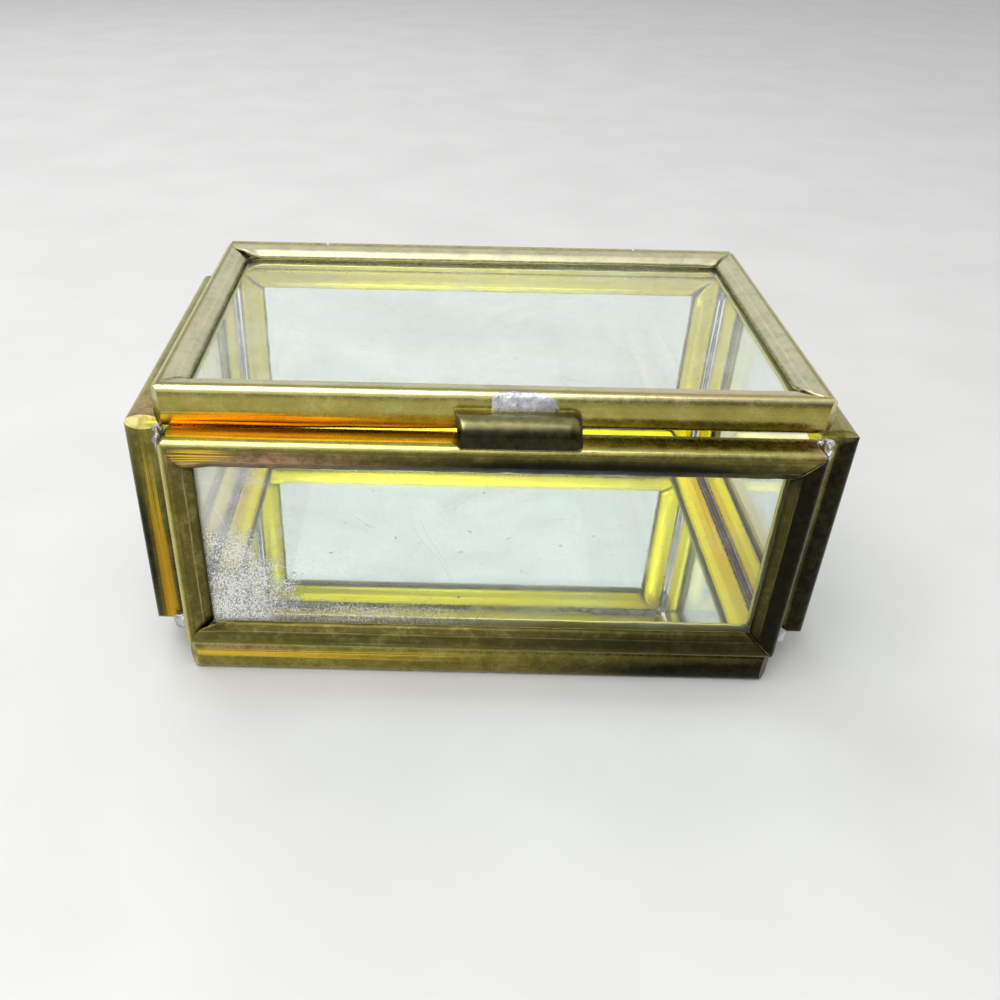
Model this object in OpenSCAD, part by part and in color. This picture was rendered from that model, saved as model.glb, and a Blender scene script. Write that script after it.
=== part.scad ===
// Small glass casket. Six panes, each edged with one folded strip of brass came, are soldered
// corner to corner into a box with a mirror floor. The lid swings on a three-knuckle hinge
// along the rear wall and is lifted by a short tab made from the same kind of strip.
// +Z is up and the front faces -Y. The origin is the middle of the footprint, on the table.

/* [Box] */
// Width of the front and rear walls
wall_w = 92; // [70:1:140]
// Height of all four walls
wall_h = 37.4; // [26:0.1:80]
// Length of the side walls, from front to rear
side_l = 56.8; // [40:0.2:110]
// Width of the mirror floor
floor_w = 92; // [68:0.2:138]
// How far the mirror floor stays behind the front and rear faces
floor_setback = 1; // [0:0.1:1.2]

/* [Lid] */
// Width of the lid
lid_w = 94.2; // [72:0.2:142]
// How far the lid's front edge stays behind the front face
lid_setback = 4.3; // [3:0.1:6]
// Height of the gap between the walls and the closed lid
lid_gap = 0.4; // [0.3:0.1:1.5]

/* [Brass came] */
// Thickness of the came across the pane
came_t = 5.5; // [5:0.1:6]
// How far the came laps over the pane, from its outer edge
came_w = 4.7; // [4:0.1:7]
// Thickness of the brass sheet
sheet_t = 0.4; // [0.3:0.05:0.6]
// Radius of the bulged back
back_r = 6.5; // [4:0.1:9]
// Radius of the two rounded shoulders
shoulder_r = 0.7; // [0.6:0.05:1]
// Where the flat of each flange ends and its curve down to the pane starts
flange_v = 2; // [1.6:0.1:2.4]
// Width of the notch at the mitred flanges
mitre_gap = 0.14; // [0.1:0.02:0.4]
// How deep the folded corners are flattened
corner_flat = 0.75; // [0.4:0.05:0.8]

/* [Glass] */
// Thickness of a pane
glass_t = 2; // [1.6:0.1:2.2]
// Distance from the came's outer edge to the edge of the pane
glass_inset = 1; // [0.9:0.1:1.6]
// Thickness of the silvering under the floor pane
silver_t = 0.1; // [0.1:0.05:0.2]
// Thickness of the paint that protects the silvering
backing_t = 0.12; // [0.1:0.02:0.2]

/* [Hinge] */
// Outer radius of the knuckles
knuckle_r = 1.9; // [1.6:0.1:2.1]
// Radius of the hinge pin
pin_r = 1.1; // [0.8:0.1:1.2]
// Running clearance around the pin
pin_clearance = 0.05; // [0.02:0.01:0.1]
// Length of each of the two outer knuckles
outer_knuckle_l = 17.8; // [8:0.2:24]
// Gap between neighbouring knuckles
knuckle_gap = 0.4; // [0.3:0.1:1]
// Gap between the lid's rear edge and the knuckles
hinge_gap = 0.4; // [0.3:0.05:0.8]

/* [Pull tab] */
// Length of the tab
tab_l = 17.5; // [10:0.5:30]
// Distance of the tab's middle from the middle of the lid
tab_x = 3.4; // [-15:0.2:15]
// Width of the tab's strip
tab_w = 5.1; // [4:0.1:5.2]
// Radius of the tab's rounded back
tab_r = 2.8; // [2.6:0.1:3.4]
// Lean of the tab back from upright
tab_lean = 42.5; // [36:0.5:44]

/* [Hidden] */
$fn = 96;
brass = "#a8953f";
aged_brass = "#8f8036";
solder_grey = "#b9bcbe";

seat = 0.05;          // gap between the floor's edging and the walls that stand on it
over = 1;             // how far a cutting shape runs past what it cuts
corner_gap_x = 0.35;  // gaps across a corner, between the front or rear wall and a side wall
corner_gap_y = 0.1;
face_y = side_l / 2 + corner_gap_y + came_t;    // front face, and rear face on the other side
wall_y = face_y - came_t / 2;
side_x = wall_w / 2 + corner_gap_x + came_t / 2;
floor_d = 2 * (face_y - floor_setback);
wall_z0 = came_t + seat;
wall_top = wall_z0 + wall_h;
wall_zc = wall_z0 + wall_h / 2;

hinge_y = wall_y;
hinge_z = wall_top + lid_gap + came_t / 2;
lid_front_y = -face_y + lid_setback;
lid_rear_y = hinge_y - knuckle_r - hinge_gap;
lid_d = lid_rear_y - lid_front_y;
lid_yc = (lid_rear_y + lid_front_y) / 2;
hinge_half = lid_w / 2 - 0.4;   // the hinge ends just inside the lid's corners
lid_knuckle_half = hinge_half - outer_knuckle_l - knuckle_gap;

// Came section: the shoulder circles touch the back's circle and the flat of the flange.
shoulder_u = came_t / 2 - shoulder_r;
shoulder_v = back_r - sqrt(pow(back_r - shoulder_r, 2) - pow(shoulder_u, 2));
shoulder_a = asin(shoulder_u / (back_r - shoulder_r));
lip_play = 0.08;      // play between the pane and the inner edge of the lip
flange_drop = came_t / 2 - sheet_t - glass_t / 2 - lip_play;
flange_r = sheet_t + (pow(came_w - flange_v, 2) + pow(flange_drop, 2)) / (2 * flange_drop);

// Tab section: its rounded back is an arc over the chord between the two lips.
tab_sink = sqrt(pow(tab_r, 2) - pow(tab_w / 2, 2));
tab_bulge = tab_r - tab_sink;
tab_lip_y = lid_front_y - 0.35; // the upper lip stands this far off the lid's front edge
tab_lip_z = hinge_z + 0.15;
tab_end_q = 0.45;     // height above the lips at which the folded ends start to slope

// Solder patch that carries the tab
patch_x = tab_x + 0.9;
patch_l = 9.6;
patch_t = 0.28;
patch_z = hinge_z + 0.45;   // lower edge of the patch, and the start of its fillet
fillet_r = 0.5;

// Outline of the came, u across the pane and v inwards from the outer edge. A positive inset
// gives the inner face of the sheet, a negative one a layer that lies on its outside.
module came_outline(inset = 0, reach = came_w) {
    half = came_t / 2 - inset;
    far = 2 * back_r;
    intersection() {
        translate([0, back_r]) circle(back_r - inset);
        polygon([
            [0, back_r],
            [-far * sin(shoulder_a), back_r - far * cos(shoulder_a)],
            [far * sin(shoulder_a), back_r - far * cos(shoulder_a)]
        ]);
    }
    for (side = [-1, 1]) translate([side * shoulder_u, shoulder_v]) circle(shoulder_r - inset);
    translate([-half, shoulder_v]) square([2 * half, flange_v - shoulder_v]);
    intersection() {
        translate([came_t / 2 - flange_r, flange_v]) circle(flange_r - inset);
        translate([flange_r - came_t / 2, flange_v]) circle(flange_r - inset);
        translate([-half, flange_v]) square([2 * half, reach - flange_v]);
    }
}

// Rectangle in the plane of a pane, with its four corners cut off at 45 degrees.
module cut_corner_slab(w, h, cut) {
    x = w / 2;
    z = h / 2;
    rotate([90, 0, 0]) linear_extrude(came_t + 2 * over, center = true) polygon([
        [-x, cut - z], [cut - x, -z], [x - cut, -z], [x, cut - z],
        [x, z - cut], [x - cut, z], [cut - x, z], [-x, z - cut]
    ]);
}

// One straight run along the lower edge of a w by h panel, mitred at both ends.
module came_run(w, h, inset, reach) {
    far = reach + over / 2;
    intersection() {
        translate([0, 0, -h / 2]) rotate([90, 0, 90])
            linear_extrude(w, center = true) came_outline(inset, reach);
        rotate([90, 0, 0]) linear_extrude(came_t + 2 * over, center = true) polygon([
            [-w / 2, -h / 2], [w / 2, -h / 2], [w / 2 - far, far - h / 2], [far - w / 2, far - h / 2]
        ]);
    }
}

// The four runs of a panel, solid through, with the flattened corners of the fold.
module came_ring(w, h, inset, reach) {
    intersection() {
        union() {
            for (turn = [0:3]) {
                along = turn % 2 == 0 ? w : h;
                across = turn % 2 == 0 ? h : w;
                rotate([0, 90 * turn, 0]) came_run(along, across, inset, reach);
            }
        }
        cut_corner_slab(w, h, 2 * corner_flat + inset * sqrt(2));
    }
}

// Notches that let the strip fold: the flanges are parted at each mitre, the back is not.
module mitre_notches(w, h) {
    start = shoulder_v + 0.25;      // the notch begins just inside the shoulder
    length = came_w * 1.6;          // and runs past the flange's inner corner
    for (sx = [-1, 1], sz = [-1, 1])
        translate([sx * (w / 2 - start), 0, sz * (h / 2 - start)])
            rotate([0, sx * sz > 0 ? -45 : 45, 0])
                translate([sx > 0 ? -length : 0, -came_t, -mitre_gap / 2])
                    cube([length, 2 * came_t, mitre_gap]);
}

// A folded came frame standing in the XZ plane, centred on the origin.
module came_frame(w, h) {
    difference() {
        came_ring(w, h, 0, came_w);
        came_ring(w, h, sheet_t, came_w + over);
        mitre_notches(w, h);
    }
}

module pane(w, h, t) {
    cube([w - 2 * glass_inset, t, h - 2 * glass_inset], center = true);
}

module at_front() { translate([0, -wall_y, wall_zc]) children(); }
module at_rear() { translate([0, wall_y, wall_zc]) children(); }
module at_side(side) { translate([side * side_x, 0, wall_zc]) rotate([0, 0, 90]) children(); }
module at_floor() { translate([0, 0, came_t / 2]) rotate([90, 0, 0]) children(); }
module at_lid() { translate([0, lid_yc, hinge_z]) rotate([90, 0, 0]) children(); }

module frame_floor() { color(aged_brass) at_floor() came_frame(floor_w, floor_d); }
module frame_front() { color(aged_brass) at_front() came_frame(wall_w, wall_h); }
module frame_rear() { color(aged_brass) at_rear() came_frame(wall_w, wall_h); }
module frame_left() { color(aged_brass) at_side(-1) came_frame(side_l, wall_h); }
module frame_right() { color(aged_brass) at_side(1) came_frame(side_l, wall_h); }
module frame_lid() { color(brass) at_lid() came_frame(lid_w, lid_d); }

module pane_front() { color("#e8f2ee", 0.35) at_front() pane(wall_w, wall_h, glass_t); }
module pane_rear() { color("#e8f2ee", 0.35) at_rear() pane(wall_w, wall_h, glass_t); }
module pane_left() { color("#e8f2ee", 0.35) at_side(-1) pane(side_l, wall_h, glass_t); }
module pane_right() { color("#e8f2ee", 0.35) at_side(1) pane(side_l, wall_h, glass_t); }
module pane_lid() { color("#e8f2ee", 0.35) at_lid() pane(lid_w, lid_d, glass_t); }

// The floor is a mirror: a clear pane with silvering and paint underneath.
module mirror_layer(z, t) {
    translate([0, 0, z + t / 2]) rotate([90, 0, 0]) pane(floor_w, floor_d, t);
}
mirror_z = (came_t - glass_t) / 2;
module mirror_backing() { color("#6f7478") mirror_layer(mirror_z, backing_t); }
module mirror_silver() { color("#e6e8ea") mirror_layer(mirror_z + backing_t, silver_t); }
module mirror_glass() {
    under = backing_t + silver_t;
    color("#dfeeea", 0.35) mirror_layer(mirror_z + under, glass_t - under);
}

// Hinge parts lie along X on the hinge axis, with their rims eased.
module turned_bar(x0, x1, r, bore) {
    ease = 0.15;
    translate([x0, hinge_y, hinge_z]) rotate([0, 90, 0]) rotate_extrude() polygon([
        [bore, 0], [r - ease, 0], [r, ease], [r, x1 - x0 - ease], [r - ease, x1 - x0], [bore, x1 - x0]
    ]);
}
module knuckle(x0, x1) { turned_bar(x0, x1, knuckle_r, pin_r + pin_clearance); }
module hinge_knuckle_left() { color(brass) knuckle(-hinge_half, -hinge_half + outer_knuckle_l); }
module hinge_knuckle_right() { color(brass) knuckle(hinge_half - outer_knuckle_l, hinge_half); }
module hinge_knuckle_lid() { color(brass) knuckle(-lid_knuckle_half, lid_knuckle_half); }
module hinge_pin() { color("#b08d57") turned_bar(-hinge_half, hinge_half, pin_r, 0); }

// Rounded strip with closed, sloping ends. Local X runs along it and +Z out of its back.
module tab_body(inset) {
    end = tab_l / 2 - inset;
    slope = end + tab_end_q - inset * (sqrt(2) - 1);
    low = inset > 0 ? -1 : 0;
    intersection() {
        rotate([90, 0, 90]) linear_extrude(tab_l, center = true) intersection() {
            translate([0, -tab_sink]) circle(tab_r - inset);
            translate([-tab_w, low]) square([2 * tab_w, tab_w]);
        }
        rotate([90, 0, 0]) linear_extrude(2 * tab_w, center = true) polygon([
            [-end, low], [end, low], [end, slope - end], [slope - tab_w, tab_w],
            [tab_w - slope, tab_w], [-end, slope - end]
        ]);
    }
}
module at_tab() {
    translate([tab_x, tab_lip_y, tab_lip_z]) rotate([tab_lean, 0, 0])
        translate([0, -tab_w / 2, 0]) children();
}
module pull_tab() {
    color(aged_brass) at_tab() difference() {
        tab_body(0);
        tab_body(sheet_t);
    }
}

// Solder: beads fill the grooves between neighbouring pieces without entering them.
module solid_front() { at_front() came_ring(wall_w, wall_h, 0, came_w); }
module solid_rear() { at_rear() came_ring(wall_w, wall_h, 0, came_w); }
module solid_side(side) { at_side(side) came_ring(side_l, wall_h, 0, came_w); }
module solid_floor() { at_floor() came_ring(floor_w, floor_d, 0, came_w); }
module solid_lid() { at_lid() came_ring(lid_w, lid_d, 0, came_w); }

// Bead down the outer groove of a corner, swollen where the iron rested at top and bottom.
module corner_bead(sx, sy) {
    x = sx * (wall_w / 2 + 0.3);
    y = sy * (side_l / 2 + 0.5);
    bead_r = 0.85;
    blob_r = 1.25;
    foot_z = wall_z0 + 1.9;
    head_z = wall_top - 1.2;    // the head ends level with the wall's top, clear of the lid
    difference() {
        union() {
            translate([x, y, foot_z]) cylinder(r = bead_r, h = head_z - foot_z);
            for (z = [foot_z, head_z]) translate([x, y, z]) sphere(blob_r);
        }
        if (sy < 0) solid_front();
        if (sy > 0) solid_rear();
        solid_side(sx);
    }
}
module solder_front_left() { color(solder_grey) corner_bead(-1, -1); }
module solder_front_right() { color(solder_grey) corner_bead(1, -1); }
module solder_rear_left() { color(solder_grey) corner_bead(-1, 1); }
module solder_rear_right() { color(solder_grey) corner_bead(1, 1); }

// Bead inside the box, in the groove between the mirror floor and the front or rear wall.
module floor_bead(sy) {
    bead_r = 0.75;
    length = wall_w - 22;
    groove_y = wall_y - came_t / 2 + 0.9;
    difference() {
        translate([0, sy * groove_y, wall_z0])
            rotate([0, 90, 0]) cylinder(r = bead_r, h = length, center = true);
        solid_floor();
        if (sy < 0) solid_front();
        if (sy > 0) solid_rear();
    }
}
module solder_floor_front() { color(solder_grey) floor_bead(-1); }
module solder_floor_rear() { color(solder_grey) floor_bead(1); }

// Saddle between an outer knuckle and the top of the rear wall, hollow on both faces.
module hinge_saddle(sx) {
    length = outer_knuckle_l - 3;
    width = 2.8;
    hollow_r = 0.9;
    hollow_y = 1.75;    // distance of each hollow's middle from the hinge axis
    bed = 0.2;          // how far the saddle comes down round the wall's back
    reach = hinge_z - wall_top;
    waist_z = wall_top + (reach - knuckle_r) / 2;
    x = sx * (hinge_half - outer_knuckle_l / 2);
    difference() {
        translate([x, hinge_y, wall_top + reach / 2 - bed]) cube([length, width, reach], center = true);
        for (sy = [-1, 1])
            translate([x, hinge_y + sy * hollow_y, waist_z])
                rotate([0, 90, 0]) cylinder(r = hollow_r, h = length + over, center = true);
        translate([0, hinge_y, hinge_z]) rotate([0, 90, 0])
            cylinder(r = knuckle_r, h = 2 * hinge_half, center = true);
        solid_rear();
    }
}
module solder_hinge_left() { color(solder_grey) hinge_saddle(-1); }
module solder_hinge_right() { color(solder_grey) hinge_saddle(1); }

// Web between the lid's rear edge and the long knuckle.
module solder_hinge_lid() {
    length = 2 * lid_knuckle_half - 3;
    web_t = 1.6;
    web_h = 2.4;
    hollow_r = 0.7;
    hollow_z = web_h / 2 + hollow_r / 2;
    color(solder_grey) difference() {
        translate([0, lid_rear_y + 0.3, hinge_z]) cube([length, web_t, web_h], center = true);
        for (sz = [-1, 1])
            translate([0, lid_rear_y + hinge_gap / 2, hinge_z + sz * hollow_z])
                rotate([0, 90, 0]) cylinder(r = hollow_r, h = length + over, center = true);
        translate([0, hinge_y, hinge_z]) rotate([0, 90, 0])
            cylinder(r = knuckle_r, h = 2 * hinge_half, center = true);
        solid_lid();
    }
}

// Patch over the lid's front edge that runs down on to the tab's upper lip.
module solder_tab() {
    trim_y = 2;         // reach of the box that trims the patch, front to rear
    ball_r = 6;         // ball that rounds the patch's outline
    ball_top = 2.7;     // height of its top over the hinge axis
    color(solder_grey) difference() {
        union() {
            intersection() {
                translate([patch_x, lid_front_y, hinge_z]) rotate([-90, 0, 0]) rotate([90, 0, 90])
                    linear_extrude(patch_l, center = true) came_outline(-patch_t, flange_v + 0.1);
                translate([patch_x, lid_front_y + 0.6, hinge_z + ball_top - ball_r]) sphere(ball_r);
                translate([-lid_w / 2, lid_front_y - trim_y / 2, patch_z])
                    cube([lid_w, trim_y, hinge_z + came_t / 2 - patch_z]);
            }
            translate([patch_x, lid_front_y - 0.15, tab_lip_z - 0.1]) rotate([0, 90, 0])
                cylinder(r = fillet_r, h = patch_l - 1, center = true);
        }
        solid_lid();
        at_tab() tab_body(0);
    }
}

frame_floor();
frame_front();
frame_rear();
frame_left();
frame_right();
frame_lid();
mirror_glass();
mirror_silver();
mirror_backing();
pane_front();
pane_rear();
pane_left();
pane_right();
pane_lid();
hinge_knuckle_left();
hinge_knuckle_right();
hinge_knuckle_lid();
hinge_pin();
pull_tab();
solder_tab();
solder_front_left();
solder_front_right();
solder_rear_left();
solder_rear_right();
solder_floor_front();
solder_floor_rear();
solder_hinge_left();
solder_hinge_right();
solder_hinge_lid();
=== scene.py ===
"""Looks for a small glass casket: folded brass came round six panes, solder, hinge and pull tab."""
import logging
import math
from dataclasses import dataclass, field
from enum import Enum

import bmesh
import bpy
from mathutils import Matrix, Vector, noise


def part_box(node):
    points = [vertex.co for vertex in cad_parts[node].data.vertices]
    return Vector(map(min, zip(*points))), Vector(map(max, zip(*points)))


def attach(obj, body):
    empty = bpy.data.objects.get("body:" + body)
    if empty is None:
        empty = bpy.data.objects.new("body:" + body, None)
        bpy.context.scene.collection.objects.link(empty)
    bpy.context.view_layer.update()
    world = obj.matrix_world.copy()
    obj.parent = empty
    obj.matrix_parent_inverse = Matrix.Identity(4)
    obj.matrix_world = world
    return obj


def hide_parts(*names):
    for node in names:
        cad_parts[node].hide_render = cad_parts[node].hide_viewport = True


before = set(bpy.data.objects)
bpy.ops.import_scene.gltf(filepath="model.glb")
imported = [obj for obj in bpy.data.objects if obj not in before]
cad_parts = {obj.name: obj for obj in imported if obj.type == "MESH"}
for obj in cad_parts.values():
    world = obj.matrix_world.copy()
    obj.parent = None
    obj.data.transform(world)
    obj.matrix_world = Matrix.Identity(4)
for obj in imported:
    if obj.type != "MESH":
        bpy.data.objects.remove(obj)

log = logging.getLogger("casket")

MM = 0.001
Colour = tuple[float, float, float]


def smooth(x: float) -> float:
    """Eases a share from 0 to 1, flat at both ends."""
    x = min(max(x, 0.0), 1.0)
    return x * x * (3.0 - 2.0 * x)


def wander(x: float, y: float = 0.0, z: float = 0.0) -> float:
    """Gives a smooth random value from about -1 to 1, the same on every run."""
    return noise.noise(Vector((x + 0.37, y + 5.11, z + 9.73)))


class Sketch:
    """Adds and joins the nodes of one material, or of the world."""

    def __init__(self, name: str, world: bool = False) -> None:
        """Starts an empty material or world.

        Args:
            name: Its name.
            world: Whether it is a world.
        """
        self.block = (bpy.data.worlds if world else bpy.data.materials).new(name)
        self.block.use_nodes = True
        self.tree = self.block.node_tree
        self.tree.nodes.clear()
        self.output = self.add("OutputWorld" if world else "OutputMaterial")

    def add(self, kind: str, **props: object) -> bpy.types.Node:
        """Adds a node.

        Args:
            kind: The node's type, without the leading ShaderNode.
            **props: Properties to set on it.

        Returns:
            The node.
        """
        node = self.tree.nodes.new("ShaderNode" + kind)
        for name, value in props.items():
            setattr(node, name, value)
        return node

    def put(self, socket: bpy.types.NodeSocket, value: object) -> None:
        """Links a socket to an output, or sets it to a number or colour."""
        if isinstance(value, bpy.types.NodeSocket):
            self.tree.links.new(value, socket)
        elif isinstance(value, tuple) and len(value) == 3 and socket.type == "RGBA":
            socket.default_value = (*value, 1.0)
        else:
            socket.default_value = value

    def place(self) -> bpy.types.NodeSocket:
        """Gives the point's place in the piece's own coordinates."""
        return self.add("TexCoord").outputs["Object"]

    def stretch(self, vector: object, scale: Colour) -> bpy.types.NodeSocket:
        """Scales a vector by a number on each axis."""
        node = self.add("Mapping")
        self.put(node.inputs["Vector"], vector)
        node.inputs["Scale"].default_value = scale
        return node.outputs[0]

    def cloud(self, vector: object, scale: float, detail: float = 3.0, rough: float = 0.5,
              twist: float = 0.0) -> bpy.types.NodeSocket:
        """Gives a noise value.

        Args:
            vector: Where it is read.
            scale: Its scale.
            detail: Octaves of detail.
            rough: Roughness of the detail.
            twist: How far it is distorted.

        Returns:
            The noise's output, about 0.3 to 0.7.
        """
        node = self.add("TexNoise")
        values = {"Vector": vector, "Scale": scale, "Detail": detail, "Roughness": rough, "Distortion": twist}
        for name, value in values.items():
            self.put(node.inputs[name], value)
        return node.outputs["Fac"]

    def span(self, value: object, low: float, high: float, to_low: float = 0.0,
             to_high: float = 1.0) -> bpy.types.NodeSocket:
        """Maps a range of values smoothly to another one, held at both ends.

        Args:
            value: The value's output.
            low: Start of the range read.
            high: End of the range read.
            to_low: What the start becomes.
            to_high: What the end becomes.

        Returns:
            The mapped value's output.
        """
        node = self.add("MapRange", interpolation_type="SMOOTHSTEP")
        for name, number in (("From Min", low), ("From Max", high), ("To Min", to_low), ("To Max", to_high)):
            node.inputs[name].default_value = number
        self.put(node.inputs["Value"], value)
        return node.outputs[0]

    def math(self, kind: str, a: object, b: object, clamp: bool = False) -> bpy.types.NodeSocket:
        """Joins two values by a Math node.

        Args:
            kind: The node's operation.
            a: The first value.
            b: The second value.
            clamp: Whether the result is held from 0 to 1.

        Returns:
            The result's output.
        """
        node = self.add("Math", operation=kind, use_clamp=clamp)
        self.put(node.inputs[0], a)
        self.put(node.inputs[1], b)
        return node.outputs[0]

    def plus(self, a: object, b: object, clamp: bool = False) -> bpy.types.NodeSocket:
        """Adds two values."""
        return self.math("ADD", a, b, clamp)

    def times(self, a: object, b: object) -> bpy.types.NodeSocket:
        """Multiplies two values."""
        return self.math("MULTIPLY", a, b)

    def most(self, a: object, b: object) -> bpy.types.NodeSocket:
        """Takes the larger of two values."""
        return self.math("MAXIMUM", a, b)

    def away(self, value: object, at: float) -> bpy.types.NodeSocket:
        """Gives how far a value is from a number, either way."""
        return self.math("ABSOLUTE", self.math("SUBTRACT", value, at), 0.0)

    def split(self, vector: object) -> list[bpy.types.NodeSocket]:
        """Gives a vector's X, Y and Z outputs."""
        node = self.add("SeparateXYZ")
        self.put(node.inputs[0], vector)
        return list(node.outputs)

    def blend(self, share: object, a: object, b: object) -> bpy.types.NodeSocket:
        """Mixes two colours.

        Args:
            share: How much of the second.
            a: The first colour.
            b: The second colour.

        Returns:
            The mixed colour's output.
        """
        node = self.add("Mix", data_type="RGBA")
        self.put(node.inputs["Factor"], share)
        self.put(node.inputs[6], a)
        self.put(node.inputs[7], b)
        return node.outputs[2]

    def ramp(self, value: object, stops: tuple[tuple[float, Colour], ...]) -> bpy.types.NodeSocket:
        """Maps a value to a run of colours.

        Args:
            value: The value's output.
            stops: Places from 0 to 1, each with its colour.

        Returns:
            The colour's output.
        """
        node = self.add("ValToRGB")
        self.put(node.inputs[0], value)
        marks = node.color_ramp.elements
        while len(marks) < len(stops):
            marks.new(1.0)
        for mark, (at, colour) in zip(marks, stops):
            mark.position = at
            mark.color = (*colour, 1.0)
        return node.outputs[0]

    def relief(self, height: object, strength: float, distance: float,
               under: object = None) -> bpy.types.NodeSocket:
        """Turns a height into a bumped normal.

        Args:
            height: The height's output.
            strength: The bump's strength.
            distance: The height of a full step, in metres.
            under: A normal that this bump lies on.

        Returns:
            The normal's output.
        """
        node = self.add("Bump")
        node.inputs["Strength"].default_value = strength
        node.inputs["Distance"].default_value = distance
        self.put(node.inputs["Height"], height)
        if under is not None:
            self.put(node.inputs["Normal"], under)
        return node.outputs[0]

    def surface(self, **inputs: object) -> bpy.types.Node:
        """Adds the Principled shader.

        Args:
            **inputs: Values by socket name, with _ for a space.

        Returns:
            The shader node.
        """
        shader = self.add("BsdfPrincipled")
        for name, value in inputs.items():
            self.put(shader.inputs[name.replace("_", " ")], value)
        return shader

    def done(self, shader: bpy.types.NodeSocket) -> bpy.types.ID:
        """Joins a shader to the output and returns the material or world."""
        self.tree.links.new(shader, self.output.inputs["Surface"])
        return self.block


@dataclass(frozen=True)
class AgedBrass:
    """Brass strip gone olive outside, still lemon yellow inside, with heat colours by the solder, and with
    painted highlights, shade and reflections.
    """

    name: str
    back: Colour = (0.30, 0.265, 0.055)
    # The flange's tone: a darker patina, and partly a painted dark reflection.
    flange: Colour = (0.135, 0.115, 0.03)
    # Tarnish and grime, and the painted dark line at the shoulder's bend and painted shade by the lip.
    dark: Colour = (0.05, 0.04, 0.013)
    # The colour of painted shade and painted dark reflections.
    shade_black: Colour = (0.010, 0.0095, 0.006)
    # Pale mottles, and the painted highlights on the shoulder, the bend and the cut edges.
    pale: Colour = (0.62, 0.57, 0.22)
    inner: Colour = (1.0, 0.89, 0.04)
    gold: Colour = (0.92, 0.60, 0.03)
    pink: Colour = (0.62, 0.33, 0.24)
    rough: float = 0.23
    satin: float = 0.38
    tarnish: float = 0.5
    on_strip: bool = True

    def heat_colours(self) -> tuple[tuple[float, Colour], ...]:
        """Gives the brass's temper colours, from straw through orange to dark red."""
        return (
            (0.0, (0.72, 0.57, 0.10)), (0.20, (0.98, 0.66, 0.03)), (0.48, (0.95, 0.38, 0.03)),
            (0.66, (0.72, 0.17, 0.03)), (0.84, (0.33, 0.05, 0.02)), (1.0, (0.11, 0.02, 0.012)),
        )

    def material(self) -> bpy.types.Material:
        """Builds the material.

        Returns:
            A brass with fine mottling, rolled streaks, specks and heat colours, a shoulder paler from wear
            and a painted highlight, and painted shade and reflections.
        """
        k = Sketch(self.name)
        spot = k.place()
        blotch = k.cloud(spot, 210.0, 4.0, 0.62, 0.4)
        mottle = k.cloud(spot, 900.0, 4.0, 0.68, 0.3)
        speck = k.cloud(spot, 3400.0, 2.0, 0.75)
        strip = spot
        streak_place = k.stretch(spot, (45.0, 1500.0, 1500.0))
        if self.on_strip:
            strip = k.add("Attribute", attribute_name="strip").outputs["Vector"]
            streak_place = k.stretch(strip, (0.045, 1.5, 1.5))
        streak = k.cloud(streak_place, 1.0, 3.0, 0.6)
        age = k.plus(k.times(blotch, 0.42), k.times(mottle, 0.36))
        age = k.plus(age, k.times(streak, 0.22))
        base, rough = self.back, self.rough
        if self.on_strip:
            side, depth = k.split(strip)[1:]
            # The flange is toned apart from the back: darker on the walls, partly a painted dark reflection,
            # and paler grey on the lid, a painted sheen of the sky.
            base = k.blend(k.span(depth, 1.1, 1.9), self.back, self.flange)
            rough = k.span(depth, 0.9, 1.9, self.rough, self.satin)
        edge = 0.43 + 0.08 * self.tarnish
        colour = k.blend(k.span(age, edge + 0.1, edge - 0.1, 0.0, 0.3 + 0.4 * self.tarnish), base, self.dark)
        colour = k.blend(k.span(age, 0.5, 0.64, 0.0, 0.5), colour, k.blend(0.5, self.pale, base))
        colour = k.blend(k.span(speck, 0.6, 0.72, 0.0, 0.35), colour, self.dark)
        colour = k.blend(k.span(speck, 0.4, 0.28, 0.0, 0.2), colour, self.pale)
        if self.on_strip:
            colour = self.wear_and_painted_bands(k, colour, strip, side, depth, mottle, streak)
            colour = self.marked(k, colour, strip, mottle)
        rough = k.plus(rough, k.span(mottle, 0.3, 0.7, -0.03, 0.09))
        height = k.plus(k.times(streak, 0.4), k.times(speck, 0.3))
        dents = k.relief(k.cloud(spot, 230.0, 2.0), 0.3, 0.0004)
        normal = k.relief(height, 0.2, 0.0001, dents)
        shader = k.surface(Base_Color=colour, Metallic=1.0, Roughness=rough, Normal=normal)
        return k.done(shader.outputs[0])

    def wear_and_painted_bands(self, k: Sketch, colour: object, strip: object, side: object, depth: object,
                   mottle: object, streak: object) -> bpy.types.NodeSocket:
        """Adds what follows the strip's section: a paler shoulder, partly wear and partly a painted
        highlight, a painted dark line below it, a painted highlight on the bend, a lip darkened by grime and
        painted shade, and the clean inner face.

        Args:
            k: The material's sketch.
            colour: The colour so far.
            strip: The place on the strip, in mm.
            side: Distance from the middle plane, positive outside.
            depth: Distance from the outer edge.
            mottle: Fine noise.
            streak: Noise drawn out along the strip.

        Returns:
            The new colour's output.
        """
        fine = k.cloud(k.stretch(strip, (0.25, 6.0, 6.0)), 1.0, 2.0, 0.6)
        outside = k.span(side, 0.4, 0.9)
        # Paler outer shoulder: rubbed wear, and a painted highlight.
        ridge = k.span(k.away(depth, 0.6), 0.5, 0.1, 0.0, 0.8)
        ridge = k.times(k.times(ridge, k.span(fine, 0.3, 0.6, 0.55, 1.0)), outside)
        colour = k.blend(ridge, colour, self.pale)
        # Painted dark line at the shoulder's bend, a painted dark reflection.
        groove = k.span(k.away(depth, 1.3), 0.28, 0.05, 0.0, 0.6)
        colour = k.blend(k.times(groove, k.span(mottle, 0.35, 0.6, 0.4, 1.0)), colour, self.dark)
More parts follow.
